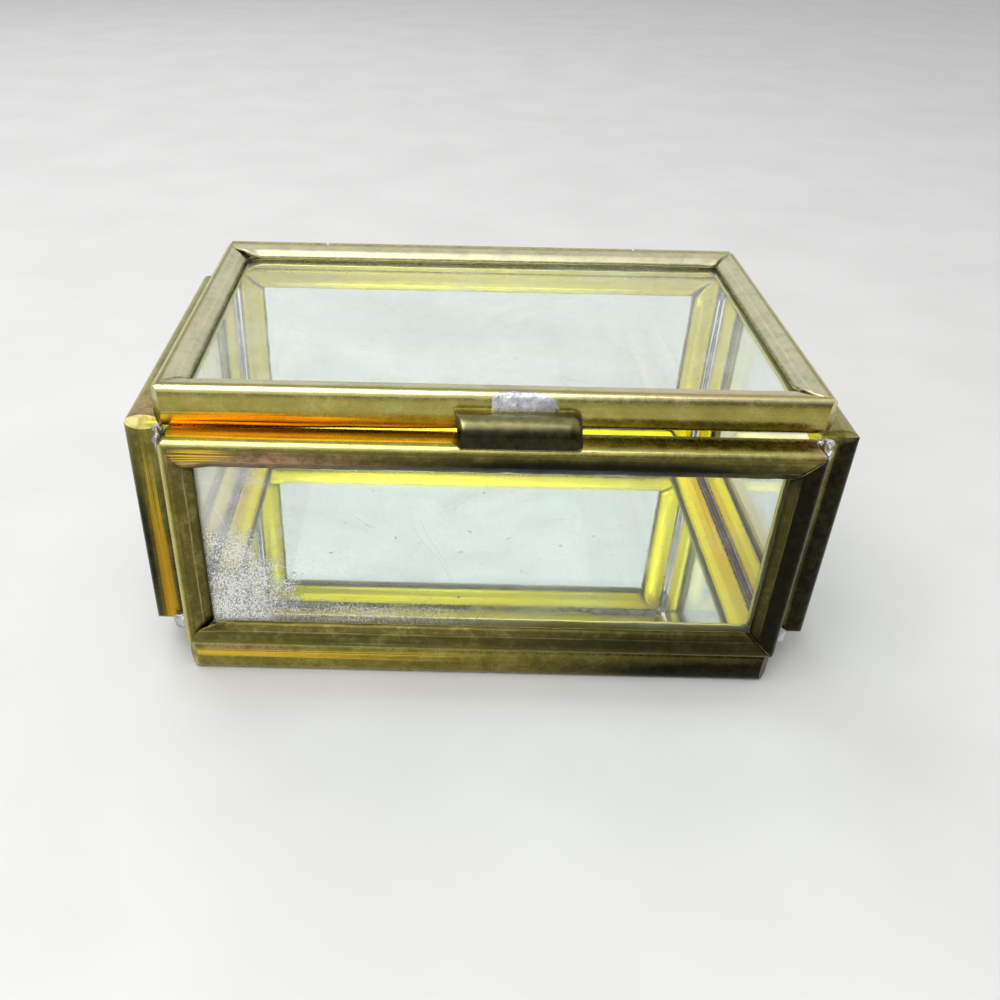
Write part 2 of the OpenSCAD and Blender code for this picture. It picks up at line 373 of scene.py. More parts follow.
        # Painted highlight along the flange's bend.
        bend = k.span(k.away(depth, 3.35), 0.14, 0.05, 0.0, 0.45)
        colour = k.blend(k.times(bend, k.span(fine, 0.4, 0.6, 0.2, 1.0)), colour, self.pale)
        # Darker towards the lip: grime, and painted shade by the glass.
        lip = k.times(k.span(depth, 4.2, 4.65), k.span(mottle, 0.35, 0.6, 0.2, 0.85))
        colour = k.blend(lip, colour, self.dark)
        clean = k.blend(k.span(streak, 0.52, 0.66, 0.0, 0.55), self.inner, self.gold)
        clean = k.blend(k.span(mottle, 0.60, 0.70, 0.0, 0.4), clean, self.back)
        hidden = k.times(k.span(side, -0.3, -0.8), k.span(depth, 0.5, 1.1))
        return k.blend(hidden, colour, clean)

    def marked(self, k: Sketch, colour: object, strip: object, mottle: object) -> bpy.types.NodeSocket:
        """Adds heat colours, pink bloom, painted shade and painted highlights along the cut edges, as the
        strip's own marks say; some heat colours are painted reflections and a painted highlight.

        Args:
            k: The material's sketch.
            colour: The colour so far.
            strip: The place on the strip, in mm.
            mottle: Fine noise.

        Returns:
            The new colour's output.
        """
        heat_and_reflection, bloom, painted_dark = k.split(k.add("Attribute", attribute_name="marks").outputs["Vector"])
        line = k.cloud(k.stretch(strip, (0.02, 4.4, 4.4)), 1.0, 1.0, 0.5)
        jump = k.times(k.span(line, 0.40, 0.60, -0.42, 0.3), k.span(heat_and_reflection, 0.36, 0.56, 0.25, 1.0))
        jump = k.times(jump, k.span(heat_and_reflection, 0.02, 0.2))
        level = k.plus(heat_and_reflection, jump)
        # Heat colours, partly painted reflections in orange and dark red, and a painted gold highlight on the
        # floor's front rim.
        colour = k.blend(k.span(level, 0.08, 0.3, 0.0, 0.95), colour, k.ramp(level, self.heat_colours()))
        bloom = k.times(bloom, k.span(mottle, 0.36, 0.58, 0.35, 1.0))
        colour = k.blend(bloom, colour, self.pink)
        # Painted shade and painted dark reflections, darkening the colour towards near black.
        painted_dark = k.times(painted_dark, k.span(mottle, 0.35, 0.6, 1.0, 0.96))
        colour = k.blend(painted_dark, colour, self.shade_black)
        # Painted highlight along the sheet's cut edges.
        rim = k.add("Attribute", attribute_name="rim").outputs["Fac"]
        return k.blend(k.span(rim, 0.9, 0.99, 0.0, 0.75), colour, self.pale)


@dataclass(frozen=True)
class OldSolder:
    """Grey tin solder, wiped and pitted."""

    name: str = "old_solder"
    pale: Colour = (0.66, 0.67, 0.70)
    dull: Colour = (0.30, 0.31, 0.33)
    warm: Colour = (0.55, 0.49, 0.31)
    warmth: float = 0.55
    pits: float = 0.0002

    def material(self) -> bpy.types.Material:
        """Builds the material.

        Returns:
            A rough grey metal with brassy smears and pits.
        """
        k = Sketch(self.name)
        spot = k.place()
        blotch = k.cloud(spot, 420.0, 4.0, 0.65, 0.5)
        grain = k.cloud(spot, 3600.0, 2.0, 0.7)
        colour = k.blend(k.span(blotch, 0.38, 0.62), self.pale, self.dull)
        colour = k.blend(k.span(k.cloud(spot, 240.0, 2.0), 0.55, 0.7, 0.0, self.warmth), colour, self.warm)
        colour = k.blend(k.span(grain, 0.55, 0.68, 0.0, 0.75), colour, self.dull)
        height = k.plus(k.times(blotch, 0.5), k.times(grain, 0.5))
        shader = k.surface(
            Base_Color=colour, Metallic=1.0, Roughness=k.span(grain, 0.3, 0.7, 0.32, 0.55),
            Normal=k.relief(height, 0.5, self.pits))
        return k.done(shader.outputs[0])


@dataclass(frozen=True)
class DarkFill:
    """Dark brown filling for a groove."""

    name: str = "dark_fill"
    brown: Colour = (0.045, 0.022, 0.006)
    amber: Colour = (0.17, 0.09, 0.018)

    def material(self) -> bpy.types.Material:
        """Builds the material.

        Returns:
            A dull brown with paler crumbs.
        """
        k = Sketch(self.name)
        spot = k.place()
        crumb = k.cloud(spot, 1300.0, 4.0, 0.7)
        colour = k.blend(k.span(crumb, 0.45, 0.65), self.brown, self.amber)
        shader = k.surface(Base_Color=colour, Roughness=k.span(crumb, 0.35, 0.65, 0.5, 0.8),
                           Specular_IOR_Level=0.2, Normal=k.relief(crumb, 0.5, 0.0002))
        return k.done(shader.outputs[0])


@dataclass(frozen=True)
class PaneGlass:
    """Clear sheet glass with smudges, dust, hair scratches and, on one pane, a frosty patch of dirt."""

    name: str
    tint: Colour = (0.955, 0.985, 0.97)
    dust: float = 0.05
    patch_at: Colour | None = None

    def material(self) -> bpy.types.Material:
        """Builds the material.

        Returns:
            Glass that lets lamp light through, under a thin broken film of dust.
        """
        k = Sketch(self.name)
        spot = k.place()
        smear = k.cloud(k.stretch(spot, (1.0, 1.0, 2.3)), 38.0, 3.0, 0.55, 1.2)
        fleck = k.cloud(spot, 1900.0, 2.0, 0.8)
        film = k.span(smear, 0.42, 0.72, self.dust * 0.25, self.dust * 1.6)
        film = k.plus(film, k.span(fleck, 0.66, 0.74, 0.0, 0.35), True)
        scratch = k.add("TexWave", wave_type="BANDS", bands_direction="DIAGONAL")
        k.put(scratch.inputs["Vector"], spot)
        for name, value in (("Scale", 21.0), ("Distortion", 9.0), ("Detail", 3.0), ("Detail Scale", 0.7)):
            scratch.inputs[name].default_value = value
        hair = k.span(scratch.outputs["Fac"], 0.9995, 1.0, 0.0, 0.12)
        film = k.plus(film, k.times(hair, k.span(smear, 0.5, 0.62)), True)
        drift = k.span(k.cloud(spot, 170.0, 2.0, 0.5), 0.35, 0.65, -0.055, 0.055)
        shade = k.plus(k.cloud(k.stretch(spot, (1.0, 1.0, 0.6)), 3900.0, 1.0, 0.5), drift)
        shade = k.span(shade, 0.40, 0.5)
        if self.patch_at is not None:
            cover, plain = self.frost(k, spot, smear)
            film = k.plus(film, cover, True)
            shade = k.most(shade, plain)
        glass = k.surface(
            Base_Color=self.tint, Roughness=k.span(smear, 0.5, 0.75, 0.0, 0.07), IOR=1.5,
            Transmission_Weight=1.0, Normal=k.relief(k.cloud(spot, 55.0, 1.0), 0.03, 0.0004))
        dust = k.surface(Base_Color=k.blend(shade, (0.30, 0.31, 0.33), (0.88, 0.88, 0.87)), Roughness=0.9)
        dusty = k.add("MixShader")
        k.put(dusty.inputs[0], film)
        k.put(dusty.inputs[1], glass.outputs[0])
        k.put(dusty.inputs[2], dust.outputs[0])
        path = k.add("LightPath")
        clear = k.add("BsdfTransparent")
        clear.inputs[0].default_value = (*self.tint, 1.0)
        through = k.add("MixShader")
        k.put(through.inputs[0], k.most(path.outputs["Is Shadow Ray"], path.outputs["Is Diffuse Ray"]))
        k.put(through.inputs[1], dusty.outputs[0])
        k.put(through.inputs[2], clear.outputs[0])
        return k.done(through.outputs[0])

    def frost(self, k: Sketch, spot: object,
              smear: object) -> tuple[bpy.types.NodeSocket, bpy.types.NodeSocket]:
        """Lays grains of dirt in one corner of the pane, and a wiped haze down its left end.

        Args:
            k: The material's sketch.
            spot: The place on the pane.
            smear: Drawn-out noise.

        Returns:
            How much of the pane they cover, and where the dirt is even, both from 0 to 1.
        """
        away = k.add("VectorMath", operation="DISTANCE")
        squash = (1.15, 1.0, 0.8)
        k.put(away.inputs[0], k.stretch(spot, squash))
        away.inputs[1].default_value = tuple(a * b for a, b in zip(self.patch_at, squash))
        rough = k.span(k.cloud(spot, 260.0, 4.0, 0.6), 0.3, 0.7, -0.0035, 0.0035)
        near = k.span(k.plus(away.outputs["Value"], rough), 0.0120, 0.001)
        x, _, z = k.split(spot)
        low = k.times(k.span(z, 0.0150, 0.0105), k.span(x, 0.020, -0.030))
        near = k.most(near, k.times(low, 0.3))
        grit = k.plus(k.cloud(spot, 4800.0, 1.0, 0.6), k.times(near, 0.13))
        grains = k.times(k.span(near, 0.02, 0.2), k.span(grit, 0.575, 0.615, 0.0, 0.95))
        wiped = k.plus(x, k.span(smear, 0.3, 0.7, -0.004, 0.004))
        return k.most(grains, k.span(wiped, -0.0300, -0.0370, 0.0, 0.36)), k.span(near, 0.15, 0.0)


@dataclass(frozen=True)
class Silvering:
    """The mirror's silver film, darkened in spots near its rim."""

    name: str = "mirror_silvering"
    silver: Colour = (0.90, 0.925, 0.91)
    lost: Colour = (0.16, 0.16, 0.15)

    def material(self) -> bpy.types.Material:
        """Builds the material.

        Returns:
            A polished metal with faint haze and lost spots.
        """
        k = Sketch(self.name)
        spot = k.place()
        haze = k.cloud(spot, 45.0, 3.0, 0.6, 0.8)
        spots = k.span(k.cloud(spot, 520.0, 2.0, 0.6), 0.7, 0.76)
        colour = k.blend(spots, self.silver, self.lost)
        rough = k.plus(k.span(haze, 0.45, 0.75, 0.012, 0.06), k.times(spots, 0.3))
        shader = k.surface(Base_Color=colour, Metallic=1.0, Roughness=rough)
        return k.done(shader.outputs[0])


@dataclass(frozen=True)
class BackingPaint:
    """Grey paint under the silvering, brushed on and a little chalky."""

    name: str = "mirror_paint"
    grey: Colour = (0.17, 0.18, 0.19)
    worn: Colour = (0.27, 0.28, 0.28)

    def material(self) -> bpy.types.Material:
        """Builds the material.

        Returns:
            A matte grey with brush marks.
        """
        k = Sketch(self.name)
        spot = k.place()
        brush = k.cloud(k.stretch(spot, (25.0, 700.0, 700.0)), 1.0, 3.0, 0.6)
        blotch = k.cloud(spot, 110.0, 4.0, 0.6)
        colour = k.blend(k.span(blotch, 0.4, 0.65), self.grey, self.worn)
        colour = k.blend(k.span(brush, 0.4, 0.65, 0.0, 0.3), colour, self.worn)
        shader = k.surface(
            Base_Color=colour, Roughness=k.span(blotch, 0.3, 0.7, 0.55, 0.8),
            Normal=k.relief(brush, 0.4, 0.0002))
        return k.done(shader.outputs[0])


@dataclass(frozen=True)
class CameSection:
    """The folded strip's section, u across the pane and v inwards from the outer edge, in mm."""

    thickness: float = 5.5
    reach: float = 4.7
    sheet: float = 0.4
    back_radius: float = 8.0
    shoulder_radius: float = 1.1
    flange_from: float = 2.0
    glass: float = 2.0
    lip_room: float = 0.15
    bend_at: float = 3.35
    bend_round: float = 0.14
    bend_step: float = 0.12

    @property
    def half(self) -> float:
        """Half the strip's thickness across the pane."""
        return self.thickness / 2

    @property
    def shoulder_u(self) -> float:
        """Distance of a shoulder's centre from the middle plane."""
        return self.half - self.shoulder_radius

    @property
    def shoulder_v(self) -> float:
        """Depth of a shoulder's centre."""
        arm = self.back_radius - self.shoulder_radius
        return self.back_radius - math.sqrt(arm ** 2 - self.shoulder_u ** 2)

    @property
    def shoulder_angle(self) -> float:
        """Angle from the middle plane to where the back meets a shoulder."""
        return math.asin(self.shoulder_u / (self.back_radius - self.shoulder_radius))

    @property
    def lip_u(self) -> float:
        """Distance of the lip's outer face from the middle plane."""
        return self.glass / 2 + self.sheet + self.lip_room

    @property
    def bend_u(self) -> float:
        """Distance from the middle plane at the bend, a little proud of an arc down to the lip."""
        drop = self.half - self.lip_u
        share = (self.bend_at - self.flange_from) / (self.reach - self.flange_from)
        return self.half - drop * (share ** 2 - 0.06)

    def face_u(self, v: float) -> float:
        """Gives the outer face's distance from the middle plane at a depth on the flange."""
        if v <= self.flange_from:
            return self.half
        if v <= self.bend_at:
            share = (v - self.flange_from) / (self.bend_at - self.flange_from)
            return self.half + (self.bend_u - self.half) * share
        return self.bend_u + (self.lip_u - self.bend_u) * (v - self.bend_at) / (self.reach - self.bend_at)

    def back_v(self, u: float) -> float:
        """Gives the outer surface's depth at a distance from the middle plane, up to the shoulder's side."""
        meet = self.back_radius * math.sin(self.shoulder_angle)
        if u <= meet:
            return self.back_radius - math.sqrt(self.back_radius ** 2 - u ** 2)
        over = min(u, self.half - 0.001) - self.shoulder_u
        return self.shoulder_v - math.sqrt(self.shoulder_radius ** 2 - over ** 2)

    def draw(self, bm: bmesh.types.BMesh) -> None:
        """Draws the section's open outline as edges in the YZ plane, at X 0, by spins.

        Args:
            bm: The mesh that gets the edges. Its Y is -u, so that the outer face looks along -Y.
        """
        axis = Vector((1, 0, 0))
        angle = self.shoulder_angle
        back = bm.verts.new((0, 0, 0))
        ret = bmesh.ops.spin(bm, geom=[back], cent=(0, 0, self.back_radius), axis=axis, angle=-angle, steps=5)
        tip = self.newest(ret["geom_last"])
        centre = Vector((0, -self.shoulder_u, self.shoulder_v))
        ret = bmesh.ops.spin(bm, geom=[tip], cent=centre, axis=axis, angle=angle - math.pi / 2, steps=5)
        tip = self.newest(ret["geom_last"])
        before, after = self.bend_at - self.bend_round, self.bend_at + self.bend_round
        upper = (self.flange_from, (self.flange_from + before) / 2, before - self.bend_step, before)
        lower = (after, after + self.bend_step, (after + self.reach) / 2, self.reach)
        for v in upper + lower:
            tip = bmesh.ops.extrude_vert_indiv(bm, verts=[tip])["verts"][0]
            tip.co = (0, -self.face_u(v), v)
        half = bmesh.ops.duplicate(bm, geom=bm.verts[:] + bm.edges[:])
        twin = [g for g in half["geom"] if isinstance(g, bmesh.types.BMVert)]
        bmesh.ops.scale(bm, vec=(1, -1, 1), verts=twin)
        bmesh.ops.remove_doubles(bm, verts=bm.verts[:], dist=1e-5)

    @staticmethod
    def newest(geom: list) -> bmesh.types.BMVert:
        """Gives the vertex in a spin's last step."""
        return next(g for g in geom if isinstance(g, bmesh.types.BMVert))


class Fold(Enum):
    """How the flanges meet at a corner."""

    CREASE = "crease"
    END_OVER = "end_over"
    START_OVER = "start_over"


class Facing(Enum):
    """Which way a panel's outer face looks."""

    FRONT = "front"
    REAR = "rear"
    LEFT = "left"
    RIGHT = "right"
    TOP = "top"
    UNDER = "under"

    def turn(self) -> Matrix:
        """Gives the turn from a panel that faces -Y to this one."""
        turns = {
            Facing.FRONT: (0.0, "Z"), Facing.REAR: (180.0, "Z"), Facing.LEFT: (-90.0, "Z"),
            Facing.RIGHT: (90.0, "Z"), Facing.TOP: (-90.0, "X"), Facing.UNDER: (90.0, "X"),
        }
        degrees, axis = turns[self]
        return Matrix.Rotation(math.radians(degrees), 4, axis)


class MarkKind(Enum):
    """What marks the brass, as its place in the marks attribute."""

    # Heat colours by the solder, also used for painted reflections and a painted highlight.
    HEAT_AND_REFLECTION = 0
    BLOOM = 1
    # Painted shade and painted dark reflections.
    PAINTED_SHADE = 2


@dataclass(frozen=True)
class Mark:
    """A soft-edged mark on the brass, in mm; some are stains, others painted light and shade."""

    mark_kind: MarkKind
    at: Colour
    reach: Colour
    strength: float = 1.0

    def share(self, point: Vector) -> float:
        """Gives the stain's strength at a point, in mm."""
        away = sum(((point[i] - self.at[i]) / self.reach[i]) ** 2 for i in range(3))
        return self.strength * math.exp(-away)


MARKS = (
    # Heat colours by the solder; the first four, on the lid's lower front edge and the wall's top behind it,
    # are partly painted reflections in orange and dark red.
    Mark(MarkKind.HEAT_AND_REFLECTION, (-34.0, -29.6, 43.5), (16.0, 2.0, 1.3), 0.66),
    Mark(MarkKind.HEAT_AND_REFLECTION, (-10.0, -29.6, 42.8), (20.0, 2.0, 0.7), 0.5),
    Mark(MarkKind.HEAT_AND_REFLECTION, (-34.0, -32.2, 43.0), (15.0, 0.4, 0.7), 0.40),
    Mark(MarkKind.HEAT_AND_REFLECTION, (-12.0, -32.3, 43.0), (18.0, 0.4, 0.8), 0.34),
    Mark(MarkKind.HEAT_AND_REFLECTION, (-40.0, -34.0, 40.3), (6.0, 1.2, 1.7), 0.24),
    Mark(MarkKind.HEAT_AND_REFLECTION, (-49.1, -28.4, 12.0), (1.3, 1.8, 24.0), 0.40),
    # A painted gold highlight along the floor came's front rim, in heat colours.
    Mark(MarkKind.HEAT_AND_REFLECTION, (-26.0, -33.2, 3.7), (36.0, 1.6, 1.2), 0.21),
    # Heat colours by the solder.
    Mark(MarkKind.HEAT_AND_REFLECTION, (43.6, -2.0, 5.6), (3.6, 36.0, 1.6), 0.22),
    Mark(MarkKind.HEAT_AND_REFLECTION, (46.8, -2.0, 9.5), (2.0, 36.0, 3.0), 0.14),
    Mark(MarkKind.HEAT_AND_REFLECTION, (46.5, 26.0, 42.6), (4.0, 5.0, 2.0), 0.4),
    Mark(MarkKind.HEAT_AND_REFLECTION, (-40.0, 34.0, 41.6), (12.0, 2.0, 2.0), 0.45),
    Mark(MarkKind.BLOOM, (-31.0, -34.0, 39.4), (11.0, 1.2, 1.5), 0.8),
    Mark(MarkKind.BLOOM, (-49.3, -25.0, 42.9), (2.2, 4.0, 1.0), 0.6),
    Mark(MarkKind.BLOOM, (-38.0, -32.5, 4.8), (8.0, 2.0, 1.0), 0.4),
    Mark(MarkKind.BLOOM, (30.0, -28.0, 48.7), (16.0, 2.2, 0.6), 0.3),
    # Painted shade under the lid's front edge, on the wall's top and the lid's lower edge.
    Mark(MarkKind.PAINTED_SHADE, (-22.0, -30.4, 42.8), (26.0, 1.1, 0.7), 0.85),
    Mark(MarkKind.PAINTED_SHADE, (24.0, -29.2, 43.4), (26.0, 1.6, 0.6), 0.6),
    # Painted dark reflections on the right wall, the front wall's top flange and its low run.
    Mark(MarkKind.PAINTED_SHADE, (50.5, -28.0, 20.0), (6.0, 18.0, 20.0), 0.8),
    Mark(MarkKind.PAINTED_SHADE, (15.0, -34.0, 39.5), (26.0, 2.5, 1.9), 1.5),
    Mark(MarkKind.PAINTED_SHADE, (30.0, -34.0, 8.2), (28.0, 2.5, 2.6), 0.8),
    Mark(MarkKind.BLOOM, (46.5, -31.0, 42.6), (4.5, 2.2, 1.6), 0.8),
    # Painted dark reflections on the floor came's front rim at the right and on the left wall's front run.
    Mark(MarkKind.PAINTED_SHADE, (38.0, -32.0, 1.6), (28.0, 3.5, 4.0), 1.3),
    Mark(MarkKind.PAINTED_SHADE, (-51.6, -28.4, 20.0), (2.4, 3.0, 28.0), 1.1),
    Mark(MarkKind.PAINTED_SHADE, (-46.6, -28.4, 18.0), (1.9, 2.5, 26.0), 0.95),
)


def linked(name: str, data: bpy.types.ID) -> bpy.types.Object:
    """Makes an object of some data and links it into the scene."""
    thing = bpy.data.objects.new(name, data)
    bpy.context.scene.collection.objects.link(thing)
    return thing


def finished(name: str, bm: bmesh.types.BMesh, metal: bpy.types.Material, body: str,
             node: str = "", sheet: float = 0.0) -> None:
    """Makes an object of a bmesh, dresses it and lets it ride on its body.

    Args:
        name: The piece's name.
        bm: Its mesh, in mm and in place. It is freed.
        metal: Its material.
        body: The CAD body it moves with.
        node: The CAD node it takes the place of, if any.
        sheet: Thickness given to its faces, inwards, in mm.
    """
    bmesh.ops.scale(bm, vec=(MM, MM, MM), verts=bm.verts[:])
    mesh = bpy.data.meshes.new(name)
    bm.to_mesh(mesh)
    bm.free()
    mesh.materials.append(metal)
    piece = linked(name, mesh)
    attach(piece, body)
    if sheet:
        wall = piece.modifiers.new("sheet", "SOLIDIFY")
        wall.thickness = sheet * MM
        wall.offset = -1.0
    if node:
        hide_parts(node)
    log.info("%s: %d faces", name, len(mesh.polygons))


def smooth_faces(bm: bmesh.types.BMesh) -> None:
    """Shades all the faces of a mesh smooth."""
    for face in bm.faces:
        face.smooth = True


def face_front(bm: bmesh.types.BMesh) -> None:
    """Smooths an open shell on the casket's front and turns its faces to -Y."""
    smooth_faces(bm)
    bmesh.ops.recalc_face_normals(bm, faces=bm.faces[:])
    if sum(f.normal.y for f in bm.faces) > 0:
        bmesh.ops.reverse_faces(bm, faces=bm.faces[:])


def box_of(node: str) -> tuple[Vector, Vector]:
    """Gives a CAD node's low and high corner, in mm."""
    low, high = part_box(node)
    return low / MM, high / MM


@dataclass
class CameFrame:
    """One strip of came folded round a pane, drawn as four mitred runs in its own plane.

    The runs go bottom, right, top, left, and corner 0 is between the bottom and the right run.
    """

    name: str
    node: str
    body: str
    facing: Facing
    folds: tuple[Fold, Fold, Fold, Fold]
    seed: float
    section: CameSection = field(default_factory=CameSection)
    corner_cut: float = 1.5
    mitre_gap: float = 0.14
    lap: float = 1.0
    lift: float = 0.4
    sag: float = 0.0
    # Runs painted near black on their outside, a painted dark reflection.
    painted_dark_runs: tuple[int, ...] = ()
    sag_from: float = 16.0
    sag_over: float = 34.0
    sag_deep: float = 6.0
    droop: tuple[float, float, float] = (0.28, -18.0, 10.0)
    pitch: float = 1.1
    rings: tuple[float, ...] = (2.4, 1.6, 1.0, 0.5)
    crisp: float = 38.0

    def size(self) -> tuple[Vector, float, float]:
        """Reads the panel's middle, width and height from the CAD node, in mm."""
        low, high = box_of(self.node)
        span = high - low
        across = {Facing.LEFT: span.y, Facing.RIGHT: span.y}.get(self.facing, span.x)
        up = {Facing.TOP: span.y, Facing.UNDER: span.y}.get(self.facing, span.z)
        return (low + high) / 2, across, up

    def run(self, bm: bmesh.types.BMesh, length: float) -> None:
        """Draws one run along X with its outer edge on Z 0 and trims it to its mitres and facets.

        Args:
            bm: An empty mesh for this run alone.
            length: The run's length, tip to tip.
        """
        self.section.draw(bm)
        bmesh.ops.translate(bm, vec=(-length / 2, 0, 0), verts=bm.verts[:])
        steps = max(8, round(length / self.pitch))
        edges = bm.edges[:]
        for _ in range(steps):
            ret = bmesh.ops.extrude_edge_only(bm, edges=edges)
            moved = [g for g in ret["geom"] if isinstance(g, bmesh.types.BMVert)]
            edges = [g for g in ret["geom"] if isinstance(g, bmesh.types.BMEdge)
                     and all(v in set(moved) for v in g.verts)]
            bmesh.ops.translate(bm, vec=(length / steps, 0, 0), verts=moved)
        for end in (-1, 1):
            mitre = Vector((end, 0, 1)).normalized()
            for inside in self.rings:
                point = Vector((end * (length / 2 - inside * math.sqrt(2)), 0, 0))
                bmesh.ops.bisect_plane(bm, geom=self.everything(bm), dist=1e-5,
                                       plane_co=point, plane_no=mitre)
            bmesh.ops.bisect_plane(bm, geom=self.everything(bm), dist=1e-5,
                                   plane_co=(end * length / 2, 0, 0), plane_no=mitre, clear_outer=True)
            corner = (end * (length / 2 - self.corner_cut), 0, 0)
            cut = bmesh.ops.bisect_plane(bm, geom=self.everything(bm), dist=1e-5, plane_co=corner,
                                         plane_no=Vector((end, 0, -1)).normalized(), clear_outer=True)
            rim = [g for g in cut["geom_cut"] if isinstance(g, bmesh.types.BMEdge)]
            ends = [v for v in {v for e in rim for v in e.verts}
                    if sum(1 for e in v.link_edges if e in rim) == 1]
            if len(ends) == 2:
                rim.append(bm.edges.new(ends))
                bmesh.ops.contextual_create(bm, geom=rim)

    @staticmethod
    def everything(bm: bmesh.types.BMesh) -> list:
        """Lists all the parts of a mesh."""
        return bm.verts[:] + bm.edges[:] + bm.faces[:]

    def shape_run(self, bm: bmesh.types.BMesh, length: float, index: int) -> None:
        """Gives a trimmed run its wavy lips, soft dents and lapped or creased corners.

        Args:
            bm: The run's mesh, in mm.
            length: The run's length, tip to tip.
            index: Which run it is, from 0.
        """
        strip = bm.verts.layers.float_vector.new("strip")
        shade_layer = bm.verts.layers.float.new("shade_layer")
        section = self.section
        joined = section.shoulder_v + 0.25
        over = (self.folds[index - 1] is Fold.START_OVER, self.folds[index] is Fold.END_OVER)
        under = (self.folds[index - 1] is Fold.END_OVER, self.folds[index] is Fold.START_OVER)
        for vert in bm.verts:
            s, u, v = vert.co.x, -vert.co.y, vert.co.z
            vert[strip] = Vector((s + 140.0 * index + 700.0 * self.seed, u, v))
            # Painted dark reflection on the outside of the runs listed, less past the bend.
            painted_dark = 0.0
            if index in self.painted_dark_runs:
                painted_dark = 0.95 * smooth(u + 1.0) * (1.0 - 0.55 * smooth((v - section.bend_at + 0.1) / 0.3))
            end = 1 if s > 0 else 0
            sign = 1.0 if end else -1.0
            inside = (length / 2 - v - abs(s)) / math.sqrt(2)
            free = smooth((v - joined) / 0.8)
            near = smooth(1.0 - inside / 2.4)
            calm = 1.0 - smooth(1.0 - inside / 3.0)
            side = 1.0 if u > 0 else -1.0
            depth = smooth((v - 2.6) / 2.1)
            wave = wander(s * 0.35, self.seed + index, side) * 0.10 + wander(s * 1.3, side, self.seed) * 0.05
            v += wave * depth * calm
            u -= side * depth * calm * 0.05 * (1.0 + wander(s * 0.22, index + 4.0, self.seed))
            dent = wander(s * 0.16, v * 0.25 + index, self.seed * 3.0 + side) * 0.05
            if v > section.shoulder_v:
                u -= side * abs(dent) * calm * (1.0 - depth)
            if v > joined:
                s -= sign * free * near * self.mitre_gap / 2
                share = (v - joined) / (section.reach - joined)
                bulge = math.sin(math.pi * min(max(share, 0.0), 1.0)) ** 0.6
                if over[end]:
                    lap = self.lap * bulge * near ** 3
                    s += sign * lap
                    lie = min(section.half, section.face_u(max(v - lap, 0.0)) + self.lift)
                    u += side * (lie - abs(u)) * smooth(near * 1.2 - 0.2) * free
                elif under[end]:
                    press = min(0.5, 0.16 + 0.34 * (section.face_u(v) - 1.4))
                    u -= side * press * smooth(near * 1.3 - 0.3) * free
                    # Painted shade where this run's flange goes under the other's.
                    vert[shade_layer] = smooth(1.0 - inside / 1.5) * free
                else:
                    hollow = math.exp(-((inside - 1.1) / 0.7) ** 2)
                    u -= side * 0.13 * hollow * free
                    # Painted shade in the crease at the mitre.
                    vert[shade_layer] = 0.8 * smooth(1.0 - inside / 0.5) * free
            vert[shade_layer] = max(vert[shade_layer], painted_dark)
            vert.co = Vector((s, -u, v))

    def hang(self, spot: Vector, up: float) -> float:
        """Gives how far the bottom run's outer lip hangs.

        Args:
            spot: A place on the flat frame, in mm from its middle.
            up: The panel's height.

        Returns:
            The hang in mm, most at the left end.
        """
        extra, start, over = self.droop
        along = smooth((self.sag_from - spot.x) / self.sag_over) + extra * smooth((start - spot.x) / over)
        low = smooth((self.sag_deep - up / 2 - spot.z) / self.sag_deep)
        return self.sag * (along * (smooth(spot.y / self.section.half) * low))

    def build(self, metal: bpy.types.Material) -> None:
        """Builds the folded frame in place of its CAD node, in the given brass."""
        middle, across, up = self.size()
        whole = bmesh.new()
        scratch = bpy.data.meshes.new("scratch")
        for index in range(4):
            length, reach = (across, up) if index % 2 == 0 else (up, across)
            bm = bmesh.new()
            self.run(bm, length)
            self.shape_run(bm, length, index)
            turn = Matrix.Rotation(math.radians(-90.0 * index), 4, "Y")
            bmesh.ops.transform(bm, matrix=turn @ Matrix.Translation((0, 0, -reach / 2)), verts=bm.verts[:])
            bm.to_mesh(scratch)
            bm.free()
            whole.from_mesh(scratch)
        bpy.data.meshes.remove(scratch)
        bmesh.ops.remove_doubles(whole, verts=whole.verts[:], dist=2e-4)
        bmesh.ops.recalc_face_normals(whole, faces=whole.faces[:])
        if sum(f.normal.dot(f.calc_center_median()) for f in whole.faces if abs(f.normal.y) < 0.3) < 0:
            bmesh.ops.reverse_faces(whole, faces=whole.faces[:])
        smooth_faces(whole)
        for edge in whole.edges:
            edge.smooth = edge.calc_face_angle(0.0) < math.radians(self.crisp)
        for vert in whole.verts:
            vert.co.y += self.hang(vert.co, up)
        place = Matrix.Translation(middle) @ self.facing.turn()
        bmesh.ops.transform(whole, matrix=place, verts=whole.verts[:])
        # The shade layer holds painted shade at the mitres and painted dark reflections on some runs.
        shade_layer = whole.verts.layers.float["shade_layer"]
        # The rim marks the sheet's cut edges for their painted highlight.
        rim = whole.verts.layers.float.new("rim")
        marks = whole.verts.layers.float_vector.new("marks")
        for vert in whole.verts:
            shares = Vector((0.0, 0.0, vert[shade_layer]))
            for mark in MARKS:
                shares[mark.mark_kind.value] += mark.share(vert.co)
            vert[marks] = Vector(min(1.0, share) for share in shares)
            vert[rim] = 1.0 if vert.is_boundary else 0.0
        finished(self.name, whole, metal, self.body, self.node, self.section.sheet)


@dataclass(frozen=True)
class Drop:
    """One rounded lump of solder, in mm."""

    at: Colour
    reach: Colour
    lump: float = 0.3


